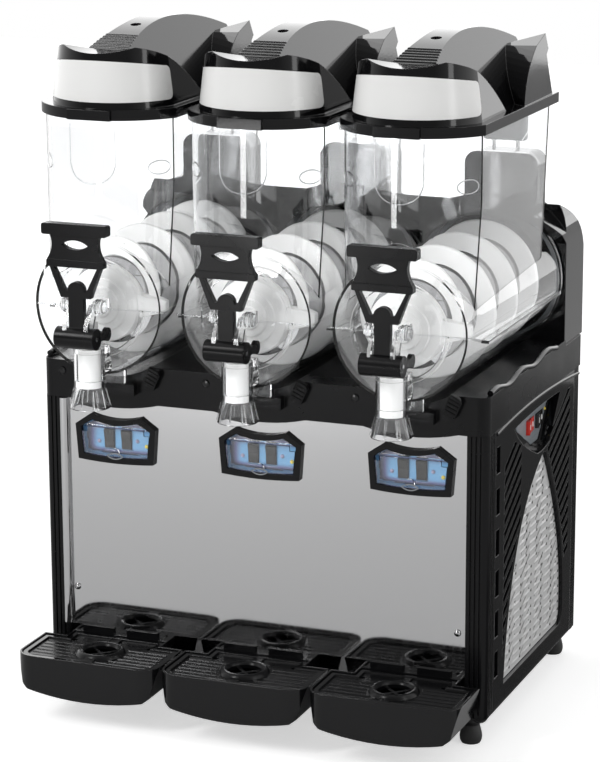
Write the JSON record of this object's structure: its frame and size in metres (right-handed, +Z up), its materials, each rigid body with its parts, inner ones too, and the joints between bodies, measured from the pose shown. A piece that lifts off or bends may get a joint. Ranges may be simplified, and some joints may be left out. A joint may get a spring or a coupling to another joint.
{
  "type": "granita dispenser",
  "caption": "Countertop granita dispenser: clear bowls with slow augers over freezing drums, lift-off lit lids, lever taps, drip trays and a cooling cabinet.",
  "frame": {"origin": "under the middle of the whole machine, on the floor plane of the feet", "axes": "+X to the right as seen from the front, +Y to the rear, +Z up; the taps face -Y"},
  "size_m": [0.6, 0.5254, 0.881],
  "materials": {
    "grey_metal": "satin",
    "rubber_black": "matte",
    "satin_black": "satin",
    "gloss_black": "gloss",
    "polished_steel": "polished",
    "silver_mesh": "satin",
    "black_metal": "gloss",
    "aluminium_fins": "matte",
    "seal_grey": "matte",
    "blue_plate": "gloss",
    "red_switch": "gloss",
    "dark_switch": "gloss",
    "clear_plastic": "clear",
    "white_plastic": "satin",
    "light_white": "diffuse"
  },
  "bodies": {
    "cabinet": {"base_pan": "grey_metal", "feet": "rubber_black", "corner_posts": "satin_black", "front_panel": "polished_steel", "side_panel_left": "gloss_black", "side_panel_right": "gloss_black", "air_filters": "silver_mesh", "rear_panel": "polished_steel", "top_deck": "satin_black", "rear_casing": "gloss_black", "compressor": "black_metal", "condenser": "aluminium_fins", "fan_shroud": "grey_metal", "gearmotors": "grey_metal", "evaporators": "polished_steel", "bowl_gaskets": "seal_grey", "control_bezels": "satin_black", "control_boxes": "blue_plate"},
    "fan": {"fan_blades": "satin_black"},
    "power_rocker": {"power_switch": "red_switch"},
    "light_rocker": {"light_switch": "dark_switch"},
    "bowl_left": {"bowl_left": "clear_plastic", "tap_pin_left": "polished_steel"},
    "lever_left": {"tap_lever_left": "satin_black"},
    "piston_left": {"tap_piston_left": "white_plastic"},
    "auger_left": {"auger_left": "white_plastic", "drive_shaft_left": "polished_steel"},
    "lid_left": {"lid_left": "gloss_black", "lid_light_left": "light_white"},
    "tray_left": {"drip_tray_left": "gloss_black"},
    "grid_left": {"drip_grid_left": "satin_black"},
    "door_left": {"control_door_left": "clear_plastic"},
    "mix_left": {"rocker_mix_left": "dark_switch"},
    "cool_left": {"rocker_cool_left": "dark_switch"},
    "bowl_centre": {"bowl_centre": "clear_plastic", "tap_pin_centre": "polished_steel"},
    "lever_centre": {"tap_lever_centre": "satin_black"},
    "piston_centre": {"tap_piston_centre": "white_plastic"},
    "auger_centre": {"auger_centre": "white_plastic", "drive_shaft_centre": "polished_steel"},
    "lid_centre": {"lid_centre": "gloss_black", "lid_light_centre": "light_white"},
    "tray_centre": {"drip_tray_centre": "gloss_black"},
    "grid_centre": {"drip_grid_centre": "satin_black"},
    "door_centre": {"control_door_centre": "clear_plastic"},
    "mix_centre": {"rocker_mix_centre": "dark_switch"},
    "cool_centre": {"rocker_cool_centre": "dark_switch"},
    "bowl_right": {"bowl_right": "clear_plastic", "tap_pin_right": "polished_steel"},
    "lever_right": {"tap_lever_right": "satin_black"},
    "piston_right": {"tap_piston_right": "white_plastic"},
    "auger_right": {"auger_right": "white_plastic", "drive_shaft_right": "polished_steel"},
    "lid_right": {"lid_right": "gloss_black", "lid_light_right": "light_white"},
    "tray_right": {"drip_tray_right": "gloss_black"},
    "grid_right": {"drip_grid_right": "satin_black"},
    "door_right": {"control_door_right": "clear_plastic"},
    "mix_right": {"rocker_mix_right": "dark_switch"},
    "cool_right": {"rocker_cool_right": "dark_switch"}
  },
  "joints": [
    {"name": "bowl_slide_left", "type": "slide", "parent": "cabinet", "child": "bowl_left", "axis": [0, -1, 0], "range_m": [0, 0.37]},
    {"name": "lever_hinge_left", "type": "hinge", "parent": "bowl_left", "child": "lever_left", "pos_m": [-0.2, -0.24925, 0.511], "axis": [1, 0, 0], "range_deg": [0, 30], "stiffness_Nm_per_rad": 1},
    {"name": "piston_lift_left", "type": "slide", "parent": "bowl_left", "child": "piston_left", "axis": [0, 0, 1], "range_m": [0, 0.017]},
    {"name": "auger_turn_left", "type": "hinge", "parent": "cabinet", "child": "auger_left", "pos_m": [-0.2, -0.14125, 0.538], "axis": [0, 1, 0], "continuous": true},
    {"name": "lid_lift_left", "type": "slide", "parent": "bowl_left", "child": "lid_left", "axis": [0, 0, 1], "range_m": [0, 0.12]},
    {"name": "tray_slide_left", "type": "slide", "parent": "cabinet", "child": "tray_left", "axis": [0, -1, 0], "range_m": [0, 0.12]},
    {"name": "grid_lift_left", "type": "slide", "parent": "tray_left", "child": "grid_left", "axis": [0, 0, 1], "range_m": [0, 0.08]},
    {"name": "door_hinge_left", "type": "hinge", "parent": "cabinet", "child": "door_left", "pos_m": [-0.2, -0.14525, 0.371], "axis": [-1, 0, 0], "range_deg": [0, 95]},
    {"name": "mix_rock_left", "type": "hinge", "parent": "cabinet", "child": "mix_left", "pos_m": [-0.214, -0.13125, 0.353], "axis": [1, 0, 0], "range_deg": [-16, 0]},
    {"name": "cool_rock_left", "type": "hinge", "parent": "cabinet", "child": "cool_left", "pos_m": [-0.19, -0.13125, 0.353], "axis": [1, 0, 0], "range_deg": [-16, 0]},
    {"name": "bowl_slide_centre", "type": "slide", "parent": "cabinet", "child": "bowl_centre", "axis": [0, -1, 0], "range_m": [0, 0.37]},
    {"name": "lever_hinge_centre", "type": "hinge", "parent": "bowl_centre", "child": "lever_centre", "pos_m": [0, -0.24925, 0.511], "axis": [1, 0, 0], "range_deg": [0, 30], "stiffness_Nm_per_rad": 1},
    {"name": "piston_lift_centre", "type": "slide", "parent": "bowl_centre", "child": "piston_centre", "axis": [0, 0, 1], "range_m": [0, 0.017]},
    {"name": "auger_turn_centre", "type": "hinge", "parent": "cabinet", "child": "auger_centre", "pos_m": [0, -0.14125, 0.538], "axis": [0, 1, 0], "continuous": true},
    {"name": "lid_lift_centre", "type": "slide", "parent": "bowl_centre", "child": "lid_centre", "axis": [0, 0, 1], "range_m": [0, 0.12]},
    {"name": "tray_slide_centre", "type": "slide", "parent": "cabinet", "child": "tray_centre", "axis": [0, -1, 0], "range_m": [0, 0.12]},
    {"name": "grid_lift_centre", "type": "slide", "parent": "tray_centre", "child": "grid_centre", "axis": [0, 0, 1], "range_m": [0, 0.08]},
    {"name": "door_hinge_centre", "type": "hinge", "parent": "cabinet", "child": "door_centre", "pos_m": [0, -0.14525, 0.371], "axis": [-1, 0, 0], "range_deg": [0, 95]},
    {"name": "mix_rock_centre", "type": "hinge", "parent": "cabinet", "child": "mix_centre", "pos_m": [-0.014, -0.13125, 0.353], "axis": [1, 0, 0], "range_deg": [-16, 0]},
    {"name": "cool_rock_centre", "type": "hinge", "parent": "cabinet", "child": "cool_centre", "pos_m": [0.01, -0.13125, 0.353], "axis": [1, 0, 0], "range_deg": [-16, 0]},
    {"name": "bowl_slide_right", "type": "slide", "parent": "cabinet", "child": "bowl_right", "axis": [0, -1, 0], "range_m": [0, 0.37]},
    {"name": "lever_hinge_right", "type": "hinge", "parent": "bowl_right", "child": "lever_right", "pos_m": [0.2, -0.24925, 0.511], "axis": [1, 0, 0], "range_deg": [0, 30], "stiffness_Nm_per_rad": 1},
    {"name": "piston_lift_right", "type": "slide", "parent": "bowl_right", "child": "piston_right", "axis": [0, 0, 1], "range_m": [0, 0.017]},
    {"name": "auger_turn_right", "type": "hinge", "parent": "cabinet", "child": "auger_right", "pos_m": [0.2, -0.14125, 0.538], "axis": [0, 1, 0], "continuous": true},
    {"name": "lid_lift_right", "type": "slide", "parent": "bowl_right", "child": "lid_right", "axis": [0, 0, 1], "range_m": [0, 0.12]},
    {"name": "tray_slide_right", "type": "slide", "parent": "cabinet", "child": "tray_right", "axis": [0, -1, 0], "range_m": [0, 0.12]},
    {"name": "grid_lift_right", "type": "slide", "parent": "tray_right", "child": "grid_right", "axis": [0, 0, 1], "range_m": [0, 0.08]},
    {"name": "door_hinge_right", "type": "hinge", "parent": "cabinet", "child": "door_right", "pos_m": [0.2, -0.14525, 0.371], "axis": [-1, 0, 0], "range_deg": [0, 95]},
    {"name": "mix_rock_right", "type": "hinge", "parent": "cabinet", "child": "mix_right", "pos_m": [0.186, -0.13125, 0.353], "axis": [1, 0, 0], "range_deg": [-16, 0]},
    {"name": "cool_rock_right", "type": "hinge", "parent": "cabinet", "child": "cool_right", "pos_m": [0.21, -0.13125, 0.353], "axis": [1, 0, 0], "range_deg": [-16, 0]},
    {"name": "fan_spin", "type": "hinge", "parent": "cabinet", "child": "fan", "pos_m": [0.18, 0.05875, 0.174], "axis": [1, 0, 0], "continuous": true},
    {"name": "power_rock", "type": "hinge", "parent": "cabinet", "child": "power_rocker", "pos_m": [0.284, 0.06875, 0.366], "axis": [0, 0, 1], "range_deg": [-16, 0]},
    {"name": "light_rock", "type": "hinge", "parent": "cabinet", "child": "light_rocker", "pos_m": [0.284, 0.10775, 0.366], "axis": [0, 0, 1], "range_deg": [-16, 0]}
  ],
  "couplings": [
    {"joint": "piston_lift_left", "follows": "lever_hinge_left", "m_per_rad": 0.03151},
    {"joint": "piston_lift_centre", "follows": "lever_hinge_centre", "m_per_rad": 0.03151},
    {"joint": "piston_lift_right", "follows": "lever_hinge_right", "m_per_rad": 0.03151}
  ]
}
